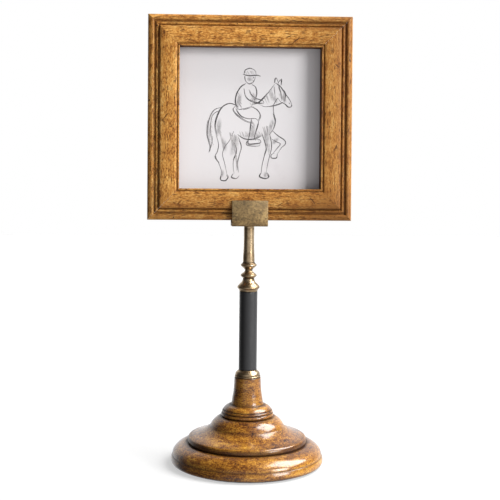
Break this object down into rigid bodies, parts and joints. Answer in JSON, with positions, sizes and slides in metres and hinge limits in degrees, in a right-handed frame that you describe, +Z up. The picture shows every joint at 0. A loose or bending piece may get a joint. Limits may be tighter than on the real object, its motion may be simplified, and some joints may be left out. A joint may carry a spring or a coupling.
{
  "type": "display easel",
  "caption": "Pedestal display easel: turned wooden base, leather-covered column and brass bracket holding a deep square picture frame with a pencil sketch.",
  "frame": {"origin": "centre of the base's underside, on the column's axis", "axes": "+Z up along the column, the picture faces -Y, +X to the right as seen from the front"},
  "size_m": [0.203, 0.1536, 0.4499],
  "materials": {
    "felt": "dark green wool felt",
    "base_wood": "turned wood, antiqued golden brown with a dark glaze in the grooves and a glossy lacquer",
    "frame_wood": "moulded wood, antiqued golden brown, dark glaze in the grooves, fine distress marks",
    "aged_brass": "aged brass with darkened recesses",
    "black_leather": "smooth matte black leather wrap",
    "steel": "plain machined steel",
    "paper": "matte white drawing paper",
    "board": "plain brown hardboard"
  },
  "bodies": {
    "stand": {"felt_pad": "felt", "base_plinth": "base_wood", "base_tier": "base_wood", "base_neck": "base_wood", "ballast_ring": "steel", "tie_rod": "steel", "base_washer": "steel", "base_nut": "steel", "lower_collar": "aged_brass", "leather_sleeve": "black_leather", "core_dowel": "base_wood", "bell_flange": "aged_brass", "twin_knop": "aged_brass", "stem_tube": "aged_brass"},
    "head": {"bracket_cradle": "aged_brass", "ledge_felt": "felt", "rest_felt": "felt", "pivot_screw": "aged_brass", "wedge_washer": "aged_brass"},
    "frame": {"rail_bottom": "frame_wood", "rail_right": "frame_wood", "rail_top": "frame_wood", "rail_left": "frame_wood", "print_sheet": "paper", "backing_board": "board", "button_screw_left_lower": "aged_brass", "button_screw_left_upper": "aged_brass", "button_screw_right_lower": "aged_brass", "button_screw_right_upper": "aged_brass"},
    "button_left_lower": {"turn_button_left_lower": "aged_brass"},
    "button_left_upper": {"turn_button_left_upper": "aged_brass"},
    "button_right_lower": {"turn_button_right_lower": "aged_brass"},
    "button_right_upper": {"turn_button_right_upper": "aged_brass"}
  },
  "joints": [
    {"name": "head_swivel", "type": "hinge", "parent": "stand", "child": "head", "pos_m": [0, 0, 0.2409], "axis": [0, 0, 1], "range_deg": [-180, 180]},
    {"name": "frame_lift", "type": "slide", "parent": "head", "child": "frame", "axis": [0, 0.0523, 0.9986], "range_m": [0, 0.15]},
    {"name": "button_left_lower_turn", "type": "hinge", "parent": "frame", "child": "button_left_lower", "pos_m": [-0.0825, 0.01372, 0.30968], "axis": [0, 0.9986, -0.0523], "range_deg": [0, 90]},
    {"name": "button_left_upper_turn", "type": "hinge", "parent": "frame", "child": "button_left_upper", "pos_m": [-0.0825, 0.0177, 0.38557], "axis": [0, 0.9986, -0.0523], "range_deg": [0, 90]},
    {"name": "button_right_lower_turn", "type": "hinge", "parent": "frame", "child": "button_right_lower", "pos_m": [0.0825, 0.01372, 0.30968], "axis": [0, 0.9986, -0.0523], "range_deg": [0, 90]},
    {"name": "button_right_upper_turn", "type": "hinge", "parent": "frame", "child": "button_right_upper", "pos_m": [0.0825, 0.0177, 0.38557], "axis": [0, 0.9986, -0.0523], "range_deg": [0, 90]}
  ]
}
